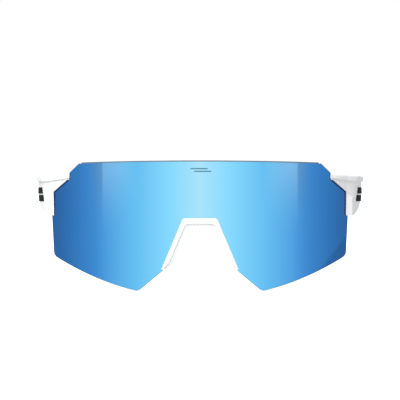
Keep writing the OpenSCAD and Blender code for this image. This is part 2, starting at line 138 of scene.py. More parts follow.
class FinishSettings(bpy.types.PropertyGroup):
    """Colours of the plastic, rubber and metal"""
    white: colour("White plastic", "Satin plastic of the frame", 243, 244, 245)
    rubber: colour("Soft rubber", "Pale rubber of the nose pad and ear tips", 238, 239, 240)
    # Seal: a dark part in the seam beside the notch; its navy colour also stands in for the
    # shade in that seam
    seal: colour("Seal", "Dark seal between the lens and the end pieces", 10, 52, 112)
    steel: colour("Hinge steel", "Brushed steel of the hinge leaves", 176, 178, 182)
    screw: colour("Screw steel", "Darker steel of the screws", 140, 141, 144)
    nylon: colour("Washer", "Nylon of the hinge washers", 42, 42, 45)
    paint: colour("Badge paint", "Black paint of the bars on the arms", 10, 10, 12)
    mark: colour("Mark", "Slate print of the strokes on the lens", 74, 116, 132)


SETTINGS = {"glasses_lens": LensSettings, "glasses_arm": ArmSettings,
            "glasses_nose": NoseSettings, "glasses_end": EndSettings,
            "glasses_finish": FinishSettings}


# ---------------------------------------------------------------- shader maths
# The Mix node's colour sockets
MIX_FIRST, MIX_SECOND, MIX_RESULT = 6, 7, 2


class Flow:
    """A number, colour or vector that runs between a material's nodes."""

    def __init__(self, tree, socket):
        self.tree = tree
        self.socket = socket

    def node(self, kind, settings=(), inputs=(), output=0):
        made = self.tree.nodes.new(kind)
        for key, value in dict(settings).items():
            if key == "stops":
                lay_stops(made.color_ramp, value)
            else:
                setattr(made, key, value)
        for key, value in dict(inputs).items():
            self.feed(made.inputs[key], value)
        return Flow(self.tree, made.outputs[output]) if len(made.outputs) else made

    def feed(self, socket, value):
        """Links a flow to a socket, or sets the socket to a number, vector or colour."""
        if isinstance(value, Flow):
            self.tree.links.new(value.socket, socket)
        elif socket.type == "RGBA":
            socket.default_value = (*value, 1)
        else:
            socket.default_value = value

    def maths(self, operation, *values):
        return self.node("ShaderNodeMath", {"operation": operation}, dict(enumerate(values)))

    def __add__(self, other):
        return self.maths("ADD", self, other)

    def __radd__(self, other):
        return self.maths("ADD", other, self)

    def __sub__(self, other):
        return self.maths("SUBTRACT", self, other)

    def __rsub__(self, other):
        return self.maths("SUBTRACT", other, self)

    def __mul__(self, other):
        return self.maths("MULTIPLY", self, other)

    def __rmul__(self, other):
        return self.maths("MULTIPLY", other, self)

    def __truediv__(self, other):
        return self.maths("DIVIDE", self, other)

    def __gt__(self, other):
        return self.maths("GREATER_THAN", self, other)

    def size(self):
        return self.maths("ABSOLUTE", self)

    def within(self, low, high):
        """0 at low, 1 at high, and straight between."""
        return self.node("ShaderNodeMapRange", {"clamp": True},
                         {"Value": self, "From Min": low, "From Max": high})

    def part(self, axis):
        """The x, y or z of a vector."""
        return self.node("ShaderNodeSeparateXYZ", (), {0: self}, axis)

    def mix(self, first, second):
        """first where this is 0, second where it is 1, as colours."""
        return self.node("ShaderNodeMix", {"data_type": "RGBA"},
                         {0: self, MIX_FIRST: first, MIX_SECOND: second}, MIX_RESULT)


def lay_stops(ramp, stops):
    while len(ramp.elements) < len(stops):
        ramp.elements.new(0.5)
    for element, (place, tint) in zip(ramp.elements, stops):
        element.position = place
        element.color = (*tint, 1)


class Finish(Flow):
    """One material: its surface sockets are set once its pattern is worked out."""

    def __init__(self, name):
        self.material = bpy.data.materials.new(name)
        self.material.use_nodes = True
        super().__init__(self.material.node_tree, None)
        self.surface = next(n for n in self.tree.nodes if n.type == "BSDF_PRINCIPLED")
        self.place = self.node("ShaderNodeTexCoord", (), (), "Object")

    def set(self, **values):
        """Sets the surface's sockets, whose names are given with _ for a space."""
        for key, value in values.items():
            self.feed(self.surface.inputs[key.replace("_", " ")], value)
        return self

    def noise(self, scale, detail=2, stretch=(1, 1, 1), roughness=0.5):
        place = self.node("ShaderNodeMapping", (), {"Vector": self.place, "Scale": stretch})
        return self.node("ShaderNodeTexNoise", (), {"Vector": place, "Scale": scale,
                                                    "Detail": detail, "Roughness": roughness})

    def cells(self, scale):
        return self.node("ShaderNodeTexVoronoi", (), {"Vector": self.place, "Scale": scale})

    def bump(self, height, strength, distance):
        return self.node("ShaderNodeBump", (), {"Height": height, "Strength": strength,
                                                "Distance": distance})


def tinted(tint, share):
    return [c * share for c in tint]


def lens_coating_and_reflection(lens):
    """Mirror coating with a painted reflection: pale in the middle, where a bright panel in
    front would reflect, and deep blue where the lens turns away.
    """
    finish = Finish("mirror_coating_painted_reflection")
    # Painted reflection: the coat's colour pales towards the middle of the lens and deepens
    # towards its ends
    across = finish.place.part(0).size() / lens.half_width
    tint = finish.node("ShaderNodeValToRGB", {"stops": [
        (0.0, lens.centre_coat_and_reflection), (0.2, lens.inner_coat_and_reflection), (0.43, lens.middle_coat_and_reflection),
        (0.7, lens.outer_coat_and_reflection), (1.0, lens.edge_coat_and_reflection)]}, {0: across})
    cloud = finish.noise(35, 3, (1, 1, 0.3)).within(0.3, 0.7) * 0.05
    tint = cloud.mix(tint, lens.inner_coat_and_reflection)
    wipe = finish.noise(260, 4).within(0.2, 0.8)
    return finish.set(Base_Color=tint, Metallic=1.0, Roughness=wipe * 0.03 + 0.03).material


def lens_smoke(lens):
    """Smoked inner face of the lens."""
    finish = Finish("smoked_inner_face")
    haze = finish.noise(60, 3).within(0.3, 0.7)
    tint = haze.mix(lens.back_colour, tinted(lens.back_colour, 1.6))
    return finish.set(Base_Color=tint, Roughness=haze * 0.03 + 0.05,
                      Specular_IOR_Level=0.6).material


def lens_rim(lens):
    """Cut and polished edge of the lens."""
    finish = Finish("polished_edge")
    marks = finish.noise(900, 3, (0.2, 0.2, 1)).within(0.25, 0.75)
    tint = marks.mix(lens.rim_colour, tinted(lens.rim_colour, 0.8))
    bump = finish.bump(marks, 0.2, 0.00002)
    return finish.set(Base_Color=tint, Roughness=marks * 0.1 + 0.15, Normal=bump).material


def moulded_plastic(name, tint, rough=0.36):
    """Satin injection-moulded plastic: a fine grain from the mould and faint flow marks."""
    finish = Finish(name)
    grain = finish.cells(4200).within(0.0, 0.7)
    flow = finish.noise(55, 3, (1, 0.25, 1)).within(0.25, 0.75)
    shade = flow.mix(tint, tinted(tint, 0.965))
    bump = finish.bump(grain, 0.12, 0.00003)
    gloss = grain * 0.06 + flow * 0.05 + rough
    return finish.set(Base_Color=shade, Roughness=gloss, Normal=bump).material


def soft_rubber(name, tint, rough=0.62, shine=0.5, painted_glow=0.0):
    """Soft over-moulded rubber: matt, with a skin of tiny pits."""
    finish = Finish(name)
    pits = finish.cells(2600).within(0.1, 0.6)
    handled = finish.noise(70, 4).within(0.3, 0.7)
    shade = handled.mix(tint, tinted(tint, 0.93))
    bump = finish.bump(pits, 0.3, 0.00004)
    # Painted light: the rubber may glow faintly in its own colour, though it is no lamp
    if painted_glow:
        finish.set(Emission_Color=shade, Emission_Strength=painted_glow)
    return finish.set(Base_Color=shade, Roughness=pits * 0.08 + rough, Normal=bump,
                      Specular_IOR_Level=shine).material


def brushed_metal(name, tint, rough, stretch):
    """Steel with a brushed grain along one direction."""
    finish = Finish(name)
    grain = finish.noise(1500, 4, stretch, 0.7).within(0.3, 0.7)
    shade = grain.mix(tinted(tint, 0.82), tint)
    bump = finish.bump(grain, 0.25, 0.00002)
    return finish.set(Base_Color=shade, Metallic=1.0, Roughness=grain * 0.15 + rough,
                      Normal=bump).material


def printed_paint(name, tint, rough=0.4):
    """A thick printed coat with a slight orange peel."""
    finish = Finish(name)
    peel = finish.noise(1800, 2).within(0.3, 0.7)
    shade = peel.mix(tint, tinted(tint, 1.5))
    bump = finish.bump(peel, 0.15, 0.00002)
    return finish.set(Base_Color=shade, Roughness=peel * 0.08 + rough, Normal=bump,
                      Specular_IOR_Level=0.02).material


# ---------------------------------------------------------------- outlines and meshes
def towards(a, b):
    return (Vector(b) - Vector(a)).normalized()


def left_of(d):
    return Vector((-d[1], d[0]))


def mitre(m, n):
    """Offset of a corner whose two sides have the unit normals m and n."""
    return (m + n) / (1 + m.dot(n))


def swing(t):
    """A smooth run from 0 to 1."""
    t = max(0.0, min(1.0, t))
    return t * t * (3 - 2 * t)


def corner_arc(a, b, c, radius, steps):
    """The rounded corner at b between a and c."""
    a, b, c = Vector(a[:2]), Vector(b[:2]), Vector(c[:2])
    u, v = towards(b, a), towards(b, c)
    half = math.acos(max(-1, min(1, u.dot(v)))) / 2
    cut = min(radius / math.tan(half), 0.48 * (a - b).length, 0.48 * (c - b).length)
    centre = b + (u + v).normalized() * cut / math.cos(half)
    reach = cut * math.tan(half)
    start = b + u * cut - centre
    end = b + v * cut - centre
    a0 = math.atan2(start.y, start.x)
    sweep = (math.atan2(end.y, end.x) - a0 + math.pi) % (2 * math.pi) - math.pi
    return [centre + reach * Vector((math.cos(a0 + sweep * i / steps),
                                     math.sin(a0 + sweep * i / steps)))
            for i in range(steps + 1)]


def rounded(corners, steps=6):
    """A closed outline; each corner is (across, up, rounding radius)."""
    out = []
    for i, corner in enumerate(corners):
        if corner[2] == 0:
            out.append(Vector(corner[:2]))
        else:
            out += corner_arc(corners[i - 1], corner, corners[(i + 1) % len(corners)],
                              corner[2], steps)
    return out


def rounded_block(low, high, radius, steps=4):
    """A section from low to high, each (out, up), with rounded corners."""
    return rounded([(low[0], low[1], radius), (high[0], low[1], radius),
                    (high[0], high[1], radius), (low[0], high[1], radius)], steps)


def both_sides(half):
    """Corners from the middle outwards, and the same again on the other side."""
    return half + [(-x, z, r) for x, z, r in reversed(half)]


def clockwise(points):
    """The closed outline, turned round if it runs the other way."""
    spin = sum(a.x * b.y - b.x * a.y for a, b in zip(points, points[1:] + points[:1]))
    return points[::-1] if spin > 0 else points


def stations(start, end, step):
    """Even places from start to end, about a step apart."""
    count = max(2, round((end - start) / step))
    return [start + (end - start) * i / count for i in range(count + 1)]


def add_object(name, data):
    """An object with this data, added to the scene."""
    made = bpy.data.objects.new(name, data)
    bpy.context.scene.collection.objects.link(made)
    return made


def piece(name, bm, body, materials, stands_for=(), smooth=True, edges=()):
    """Turns a mesh worked out in the level frame into a piece on its body.

    edges holds the width, the segments and the least angle of its softened edges.
    """
    mesh = bpy.data.meshes.new(name)
    bm.transform(PLACE)
    bmesh.ops.recalc_face_normals(bm, faces=bm.faces)
    for face in bm.faces:
        face.smooth = smooth
    bm.to_mesh(mesh)
    bm.free()
    made = add_object(name, mesh)
    for material in materials:
        mesh.materials.append(material)
    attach(made, body)
    if stands_for:
        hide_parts(*stands_for)
    if edges:
        soften_edges(made, *edges)
    return made


def join_rings(bm, rings, material=0):
    """Joins rings of vertices, each to the next, with quads."""
    for first, second in zip(rings, rings[1:]):
        for k in range(len(first)):
            j = (k + 1) % len(first)
            face = bm.faces.new((first[k], first[j], second[j], second[k]))
            face.material_index = material


def rings_mesh(rings, side=1, bm=None):
    """Joins rings of equal length with quads and closes both ends.

    The rings are worked out on the wearer's left; side is -1 for the same on the right.
    """
    bm = bm or bmesh.new()
    made = [[bm.verts.new((x * side, y, z)) for x, y, z in ring] for ring in rings]
    join_rings(bm, made)
    bm.faces.new(made[0][::-1])
    bm.faces.new(made[-1])
    return bm


def soften_edges(made, width, segments=2, angle=30):
    bevel = made.modifiers.new("edges", "BEVEL")
    bevel.width = width
    bevel.segments = segments
    bevel.limit_method = "ANGLE"
    bevel.angle_limit = math.radians(angle)
    bevel.harden_normals = True
    for polygon in made.data.polygons:
        polygon.use_smooth = True


# ---------------------------------------------------------------- places shared by the pieces
# The lens's outline: steps across and down from its widest and highest points, or (across, up)
EDGE_IN, NOTCH_IN, BEVEL_OUT, SHOULDER_IN = 1 * MM, 7.6 * MM, 0.3 * MM, 5.1 * MM
NOTCH_DROP, NOTCH_SLOPE, NOTCH_HEIGHT, BEVEL_DROP = 7.5 * MM, 6.1 * MM, 16.9 * MM, 5.3 * MM
TOP_CROWN, CHEEK_UP, CHEEK_HOLLOW = 0.6 * MM, 14.6 * MM, 1.7 * MM
TIP, FOOT, BROW = (27.4 * MM, -0.6 * MM), (17.1 * MM, 9.1 * MM), (7.5 * MM, 31.7 * MM)
SEAL, GROOVE = 0.7 * MM, 1 * MM
# The corner beside the lens, and the hinge's axis and the joint behind it
CORNER_OUT, CORNER_BACK = 3 * MM, 1.4 * MM
HINGE_IN, HINGE_BACK, HINGE_HALF_HEIGHT = 0.7 * MM, 6.8 * MM, 4.5 * MM
JOINT_BACK, JOINT_GAP, PLATE_LIFT = 4.2 * MM, 0.3 * MM, 0.4 * MM
# The arms: how they bow out, their drop below the lens's top, and lengths from the joint
BOW_OUT, BOW_LENGTH, CURVE_RADIUS = 5.9 * MM, 28.2 * MM, 220 * MM
TOP_DROP, EAR_DROP, ARM_FALL = 6.1 * MM, 6.7 * MM, 1 * MM
ARM_LENGTH, EAR_LENGTH, SOCK_START, RAIL_SHORT = 118 * MM, 68 * MM, 60 * MM, 6 * MM
BELLY_LENGTH, BELLY_RISE = 6 * MM, 2.2 * MM
# The shallow grooves on the inner face of the rubber tips
GRIP_GROOVE = 0.22 * MM


class Places:
    """Points that several pieces share, worked out from the sizes as in the CAD source."""

    def __init__(self, scene):
        lens, arm = scene.glasses_lens, scene.glasses_arm
        self.edge_x = lens.half_width - EDGE_IN
        self.notch_top = Vector((self.edge_x - NOTCH_IN, lens.height - NOTCH_DROP))
        self.notch_bend = Vector((self.edge_x, self.notch_top.y - NOTCH_SLOPE))
        self.notch_floor = self.notch_top.y - NOTCH_HEIGHT
        self.bevel_end = Vector((self.notch_top.x + BEVEL_OUT, lens.height - BEVEL_DROP))
        self.top_corner = Vector((self.bevel_end.x - SHOULDER_IN, lens.height - TOP_CROWN))
        slope_in = -left_of(towards(self.notch_top, self.notch_bend))
        shoulder = towards(self.bevel_end, self.notch_top)
        self.seal_top = self.notch_top + shoulder * SEAL / shoulder.dot(slope_in)
        self.seal_bend = self.notch_bend + SEAL * mitre(Vector((-1, 0)), slope_in)
        self.cheek = Vector((self.edge_x, CHEEK_UP))
        self.tip = Vector(TIP)
        self.foot = Vector(FOOT)
        self.brow = Vector(BROW)
        self.leg = towards(self.foot, self.brow)
        self.leg_in = left_of(self.leg)
        self.lens_r = lens.radius
        self.edge_y = self.lens_y(self.edge_x)
        self.corner = Vector((self.edge_x + CORNER_OUT, self.edge_y + CORNER_BACK))
        self.crest = self.corner + Vector((BOW_OUT, BOW_LENGTH))
        self.bow_r = (BOW_OUT ** 2 + BOW_LENGTH ** 2) / (2 * BOW_OUT)
        self.hinge = Vector((self.edge_x - HINGE_IN, self.corner.y + HINGE_BACK))
        self.joint_y = self.corner.y + JOINT_BACK
        self.arm_y = self.joint_y + JOINT_GAP
        self.arm_h = arm.height
        self.arm_top = lens.height - TOP_DROP
        self.plate_low = self.notch_floor + PLATE_LIFT
        self.hinge_low = (self.plate_low + self.arm_top) / 2 - HINGE_HALF_HEIGHT
        self.ear = Vector((self.joint_y + EAR_LENGTH, self.arm_top - EAR_DROP))
        tip_y = self.joint_y + ARM_LENGTH - arm.tip_radius
        tip_z = (LENS_LOW + arm.tip_radius + tip_y * math.sin(LEAN)) / math.cos(LEAN)
        self.tip_centre = Vector((tip_y, tip_z))
        self.tip_run = towards(self.ear, self.tip_centre)
        arm_run = towards((self.joint_y, self.ear.y + ARM_FALL), self.ear)
        self.ear_out = mitre(left_of(arm_run), left_of(self.tip_run))
        self.sock_y = self.joint_y + SOCK_START
        self.rail_end = self.sock_y - RAIL_SHORT

    def brow_at(self, side, top):
        """The brow's corner moved in from a leg by side and from the top bar by top."""
        return self.brow + Vector(((side + top * self.leg_in.y) / self.leg_in.x, -top))

    def wall(self, y):
        """The outer face of an arm at y: its x, and the unit vector that points outwards."""
        radius = self.bow_r if y < self.crest.y else CURVE_RADIUS
        rise = y - self.crest.y
        out = Vector((math.sqrt(radius * radius - rise * rise), rise)) / radius
        return Vector((self.crest.x - radius, self.crest.y)) + out * radius, out

    def side_outline(self, half_height, end_half_height):
        """An arm's side view as (y, z) points, with its lower edge first."""
        p, d, w, e = self.tip_centre, self.tip_run, half_height, end_half_height
        across = left_of(d)
        low = [(self.arm_y, self.plate_low, 0),
               (self.joint_y + BELLY_LENGTH, self.plate_low + BELLY_RISE, 6 * MM),
               (self.joint_y + 14 * MM, self.arm_top - self.arm_h - 0.1 * MM, 10 * MM),
               (*(self.ear - self.ear_out * w), 40 * MM),
               (*(p + (d - across) * e), e)]
        high = [(*(p + (d + across) * e), e), (*(self.ear + self.ear_out * w), 50 * MM),
                (self.arm_y, self.arm_top, 0)]
        return rounded(low + high, 16)

    def side_span(self, outline, y):
        """Lowest and highest point of a side view at y."""
        y = max(y, self.arm_y + 0.001 * MM)
        found = []
        for a, b in zip(outline, outline[1:] + outline[:1]):
            if min(a.x, b.x) <= y <= max(a.x, b.x) and abs(a.x - b.x) > 1e-9:
                found.append(a.y + (b.y - a.y) * (y - a.x) / (b.x - a.x))
        return min(found), max(found)

    def lens_y(self, x, radius=None):
        """How far back the lens's front face, or a cylinder on the same axis, lies at x."""
        radius = radius or self.lens_r
        return self.lens_r - math.sqrt(radius * radius - x * x)

    def lens_outline(self, lens):
        """The lens's outline with its crowned top, notches, hollow sides and nose cut-out."""
        half = [(self.top_corner.x * i / 12, lens.height - TOP_CROWN * (i / 12) ** 2, 0)
                for i in range(1, 12)]
        half += [(*self.top_corner, 4 * MM), (*self.bevel_end, 0.4 * MM), (*self.seal_top, 0),
                 (*self.seal_bend, 0), (self.seal_bend.x, self.notch_floor, 0),
                 (lens.half_width, self.notch_floor, 0.3 * MM), (*self.cheek, 6 * MM)]
        for i in range(1, 12):
            t = i / 12
            p = self.cheek.lerp(self.tip, t)
            half.append((p.x, p.y - CHEEK_HOLLOW * 4 * t * (1 - t), 0))
        half += [(*self.tip, 6.3 * MM), (*(self.foot + self.leg_in * GROOVE), 0.4 * MM),
                 (*self.brow_at(GROOVE, GROOVE), 1 * MM)]
        return rounded(both_sides(half), 8)


# ---------------------------------------------------------------- lens
def inset_points(points, widths):
    """The closed outline moved inwards by each point's width; the outline runs clockwise."""
    out = []
    for i, p in enumerate(points):
        before, after = towards(points[i - 1], p), towards(p, points[(i + 1) % len(points)])
        out.append(p - mitre(left_of(before), left_of(after)) * widths[i])
    return out


class GLASSES_OT_lens(bpy.types.Operator):
    """Build the mirrored shield lens with its polished edge"""
    bl_idname = "glasses.lens"
    bl_label = "Lens"

    def execute(self, context):
        lens = context.scene.glasses_lens
        at = Places(context.scene)
        outline = clockwise(at.lens_outline(lens))
        outline = [p for i, p in enumerate(outline) if (p - outline[i - 1]).length > 1e-6]

        def edge_width(p):
            high = p.y > lens.height - 1.2 * MM and abs(p.x) < at.top_corner.x
            return lens.top_edge if high else lens.edge

        widths = [edge_width(p) for p in outline]
        inner = inset_points(outline, widths)
        bm = bmesh.new()
        bm.faces.new([bm.verts.new((p.x, 0, p.y)) for p in inner])
        step = 1.2 * MM
        cuts = int(lens.half_width / step)
        for i in range(-cuts, cuts + 1):
            bmesh.ops.bisect_plane(bm, geom=bm.verts[:] + bm.edges[:] + bm.faces[:], dist=1e-7,
                                   plane_co=((i + 0.37) * step, 0, 0), plane_no=(1, 0, 0))
        front_faces = [[(v.co.x, v.co.z) for v in f.verts] for f in bm.faces]
        rim = self.ordered_rim(bm)
        bm.free()

        bm = bmesh.new()
        front_r, back_r = lens.radius, lens.radius - lens.thickness
        kept = {}

        def vert(x, z, radius, shift, layer):
            key = (round(x * 1e8), round(z * 1e8), layer)
            if key not in kept:
                kept[key] = bm.verts.new((x, at.lens_y(x, radius) + shift, z))
            return kept[key]

        for corners in front_faces:
            bm.faces.new([vert(x, z, front_r, 0, 0) for x, z in corners]).material_index = 0
            bm.faces.new([vert(x, z, back_r, 0, 1) for x, z in reversed(corners)]
                         ).material_index = 1
        widths = [edge_width(p) for p in rim]
        outer = inset_points(rim, [-w for w in widths])
        loops = [[vert(p.x, p.y, front_r, 0, 0) for p in rim],
                 [vert(p.x, p.y, front_r, 0.8 * w, 2) for p, w in zip(outer, widths)],
                 [vert(p.x, p.y, back_r, -lens.edge, 3) for p in outer],
                 [vert(p.x, p.y, back_r, 0, 1) for p in rim]]
        join_rings(bm, loops, 2)
        bm.edges.ensure_lookup_table()
        for loop in loops:
            for k, v in enumerate(loop):
                edge = bm.edges.get((v, loop[(k + 1) % len(loop)]))
                if edge:
                    edge.smooth = False
        finishes = [lens_coating_and_reflection(lens), lens_smoke(lens), lens_rim(lens)]
        piece("shield_lens", bm, "front", finishes, ["lens"])
        self.mark(at, context.scene.glasses_finish)
        return {"FINISHED"}

    @staticmethod
    def mark(at, tints):
        """Two plain slanted strokes printed at the top of the lens."""
        bm = bmesh.new()
        tall, slant, thick = 0.55 * MM, 0.35 * MM, 0.04 * MM
        for start, end, low in ((-4.4, 3.2, 53.3), (-2.8, 4.8, 52.1)):
            rings = []
            for x in stations(start * MM, end * MM, 0.8 * MM):
                ring = []
                for back, rise in ((-thick, 0), (-thick, 1), (thick, 1), (thick, 0)):
                    place = x + slant * rise
                    deep = at.lens_y(place) + back
                    ring.append((place, deep, low * MM + tall * rise))
                rings.append(ring)
            rings_mesh(rings, bm=bm)
        paint = printed_paint("mark_paint", tints.mark)
        piece("lens_mark", bm, "front", [paint], smooth=False)

    @staticmethod
    def ordered_rim(bm):
        """The cut face's outer points, in order and clockwise."""
        nexts = {}
        for edge in bm.edges:
            if len(edge.link_faces) == 1:
                a, b = edge.verts
                nexts.setdefault(a, []).append(b)
                nexts.setdefault(b, []).append(a)
        first = min(nexts, key=lambda v: (v.co.x, v.co.z))
        run, last, here = [first], None, first
        while True:
            step = next(v for v in nexts[here] if v is not last)
            if step is first:
                break
            last, here = here, step
            run.append(here)
        return clockwise([Vector((v.co.x, v.co.z)) for v in run])


# ---------------------------------------------------------------- nose piece
class GLASSES_OT_nose(bpy.types.Operator):
    """Sweep the hard bridge round the lens's edge and the rubber pad inside it"""
    bl_idname = "glasses.nose"
    bl_label = "Nose piece"

    def execute(self, context):
        lens, nose = context.scene.glasses_lens, context.scene.glasses_nose
        tints = context.scene.glasses_finish
        at = Places(context.scene)
        path = self.path(at, nose)
        bridge = [self.ring(at, stop, self.bridge_section(lens, nose, stop)) for stop in path]
        piece("bridge_band", rings_mesh(bridge), "front",
              [moulded_plastic("bridge_plastic", tints.white)],
              ["nose_bridge"], edges=(0.12 * MM, 2, 50))
        pad = [self.ring(at, stop, self.pad_section(lens, nose, stop)) for stop in path[1:-1]]
        made = piece("rubber_nose_pad", rings_mesh(pad), "front",
                     [soft_rubber("pad_rubber", tints.rubber, painted_glow=PAD_PAINTED_GLOW)],
                     ["nose_pad"], edges=(0.15 * MM, 2, 50))
        return {"FINISHED"}

    @staticmethod
    def path(at, nose):
        """Stops from foot to foot: outer edge, inner edge, share of width, share of a leg."""
        inner_foot = at.foot + at.leg_in * nose.band
        inner_brow = at.brow_at(nose.band, nose.top_band)
        outer = corner_arc(at.foot, at.brow, (0, at.brow.y), 1.2 * MM, 8)
        inner = corner_arc(inner_foot, inner_brow, (0, inner_brow.y), 2 * MM, 8)
        steps = 30
        half = []
        for i in range(steps):
            edge = at.foot.lerp(outer[0], i / steps)
            rise = min(1.0, (edge - at.foot).length / (6.5 * MM))
            share = 0.38 + 0.62 * math.sin(math.pi / 2 * rise)
            inside = inner_foot.lerp(inner[0], i / steps)
            half.append((edge, edge.lerp(inside, share), share, 1))
        half += [(a, b, 1, 1 - i / 8) for i, (a, b) in enumerate(zip(outer, inner))]
        over = [(Vector((-a.x, a.y)), Vector((-b.x, b.y)), share, leg)
                for a, b, share, leg in reversed(half)]
        return half + over

    @staticmethod
    def ring(at, stop, section):
        """Places a section's (towards the gap, back from the lens) points at a stop."""
        outer, inner, _, _ = stop
        way = (inner - outer).normalized()
        out = []
        for q, back in section:
            spot = outer + way * q
            out.append((spot.x, at.lens_y(outer.x) + back, spot.y))
        return out

    @staticmethod
    def bridge_section(lens, nose, stop):
        outer, inner, share, _ = stop
        width = (inner - outer).length
        front, rear, groove = -nose.lip, lens.thickness + nose.lip, 0.8 * MM * share
        edge = 0.35 * MM
        return rounded([(0, front, edge), (width, front, edge), (width, rear, edge),
                        (0, rear, edge), (0, lens.thickness, 0), (groove, lens.thickness, 0),
                        (groove, 0, 0), (0, 0, 0)], 4)

    @staticmethod
    def pad_section(lens, nose, stop):
        outer, inner, share, leg = stop
        start = (inner - outer).length
        wide = nose.pad * share * (0.75 + 0.6 * leg)
        heel = lens.thickness + nose.lip + 0.3 * MM
        back = nose.depth * (0.6 + 0.4 * leg) * (0.7 + 0.3 * share)
        flare = nose.flare * (0.35 + 0.65 * leg) * share
        low = start - wide * 0.5
        corners = [(low, 0.4 * MM, 0.1), (start + wide * 0.6, 0, 0.3),
                   (start + wide, 0.5 * MM, 0.3), (start + wide, heel, 1),
                   (start + wide - flare, back, 0.6),
                   (start - flare - 1 * MM, back + 0.2 * MM, 0.5),
                   (start - flare - 1.9 * MM, back - 1 * MM, 0.5),
                   (start - 2.2 * MM * share, heel + 0.6 * MM, 0.5), (low, heel, 0.2)]
        return rounded([(q, y, radius * MM) for q, y, radius in corners], 4)


# ---------------------------------------------------------------- end pieces
class GLASSES_OT_ends(bpy.types.Operator):
    """Loft the end pieces with their rail, strip, plate and the flange behind the lens"""
    bl_idname = "glasses.ends"
    bl_label = "End pieces"

    def execute(self, context):
        scene = context.scene
        lens, arm, end = scene.glasses_lens, scene.glasses_arm, scene.glasses_end
        at = Places(scene)
        white = moulded_plastic("end_plastic", scene.glasses_finish.white)
        rings = [self.section(at, arm, end, *stop) for stop in self.stops(at, lens, end)]
        for name, side in SIDES.items():
            piece("end_shell_" + name, rings_mesh(rings, side), "front", [white],
                  ["end_piece_" + name], edges=(0.15 * MM, 2, 35))
            piece("end_flange_" + name, rings_mesh(self.flange(at, lens, end), side), "front",
                  [white], edges=(0.2 * MM, 2, 60))
            piece("hinge_seat_" + name, rings_mesh(self.seat(at, lens, end), side), "front",
                  [white], edges=(0.2 * MM, 2, 60))
        return {"FINISHED"}

    @staticmethod
    def stops(at, lens, end):
        """Stops along the end piece: outer and inner point, lower edge, bead, and face above."""
        radius, depth = lens.radius, lens.thickness + end.flange_thickness
        out = []
        start = at.notch_top.x + 0.15 * MM
        for x in stations(start, at.edge_x, 0.9 * MM):
            turn = math.asin(x / radius)
            spoke = Vector((math.sin(turn), -math.cos(turn)))
            run = (x - at.notch_top.x) / (at.edge_x - at.notch_top.x)
            low = at.notch_top.y + (at.notch_bend.y - at.notch_top.y) * run
            centre = Vector((0, radius))
            outer = centre + spoke * radius
            out.append([outer, centre + spoke * (radius - depth), low, 1, outer])
        # Past the lens's edge: forward over the strip to the corner, then back along the plate
        first = Vector((at.edge_x + 0.03 * MM, at.edge_y + 0.1 * MM))
        inner_first = Vector((at.edge_x, at.edge_y + 3.3 * MM))
        inner_corner = Vector((at.edge_x - 0.8 * MM, at.corner.y + 3 * MM))
        inner_last = Vector((inner_corner.x, at.joint_y))
        plate_end = at.wall(at.joint_y)[0]
        bulge = -left_of(towards(first, plate_end)) * 0.3 * MM
        bend = corner_arc(first, at.corner, at.wall(at.corner.y + 4 * MM)[0], 0.7 * MM, 5)
        strip = [first.lerp(bend[0], i / 5) for i in range(5)] + bend
        plate = [at.wall(y)[0] for y in stations(bend[-1].y, at.joint_y, 0.7 * MM)[1:]]
        total = len(strip) + len(plate) - 1
        for i, point in enumerate(strip + plate):
            past = i - len(strip) + 1
            if past < 0:
                inner = inner_first.lerp(inner_corner, i / len(strip))
            else:
                inner = inner_corner.lerp(inner_last, past / len(plate))
            low = at.notch_floor + (at.plate_low - at.notch_floor) * max(0, past) / len(plate)
            t = i / total
            high = first.lerp(plate_end, t) + bulge * 4 * t * (1 - t)
            out.append([point, inner, low, 0, high])
        for column in (0, 4):
            for i, stop in enumerate(out):
                before, after = out[max(0, i - 1)], out[min(len(out) - 1, i + 1)]
                stop.append(-left_of(towards(before[column], after[column])))
        return out

    @staticmethod
    def section(at, arm, end, outer, inner, low, bead, high, out, high_out):
        """One closed ring: over the strip, the face above it and the rail, and down inside."""
        run = max(0.0, (at.corner.x - high.x) / (at.corner.x - at.bevel_end.x))
        top = at.arm_top + end.rise * run
        rail_low = top - arm.rail_height - (end.rail_height - arm.rail_height) * run
        rail = arm.rail_out * (0.35 + 0.65 * swing((outer.x - at.notch_top.x) / (3 * MM)))
        lip = end.bead * bead
        past_edge = min(1.0, (outer.x - at.edge_x) / (3 * MM))
        ledge = at.notch_bend.y - 0.7 * MM - 1.7 * MM * past_edge
        if bead:
            ledge = min(low + 0.95 * MM, rail_low - 0.6 * MM)
        depth = (outer - inner).length
        corners = [(lip, low, 0.05), (lip, low + 0.25 * MM, 0), (0, ledge, 0),
                   (0, ledge + 0.3 * MM, 0), (0, rail_low, 0.25), (rail, rail_low, 1),
                   (rail, top, 1.15), (-depth, top, 0.5), (-depth, low, 0.4)]
        ring = []
        for q, z in rounded([(q, z, radius * MM) for q, z, radius in corners], 6):
            base, way = (outer, out) if z < ledge + 0.1 * MM else (high, high_out)
            place = (base + way * max(q, 0)).lerp(inner, max(-q, 0) / depth)
            ring.append((place.x, place.y, z))
        return ring

    @staticmethod
    def flange(at, lens, end):
        """The curved flange that holds the lens from behind."""
        outer_r = lens.radius - lens.thickness
        low, high = at.notch_floor + 1.5 * MM, at.notch_top.y + 0.5 * MM
        rings = []
        for x in stations(at.edge_x - end.flange_width, at.edge_x - 0.4 * MM, 0.9 * MM):
            turn = math.asin(x / outer_r)
            edge = min(1.0, (x - at.edge_x + end.flange_width) / (2 * MM))
            cut = 1.2 * MM * (1 - math.sqrt(1 - (1 - edge) ** 2))
            ring = []
            for q, z in rounded_block((outer_r - end.flange_thickness, low + cut),
                                      (outer_r - 0.02 * MM, high - cut), 0.4 * MM):
                ring.append((q * math.sin(turn), lens.radius - q * math.cos(turn), z))
            rings.append(ring)
        return rings

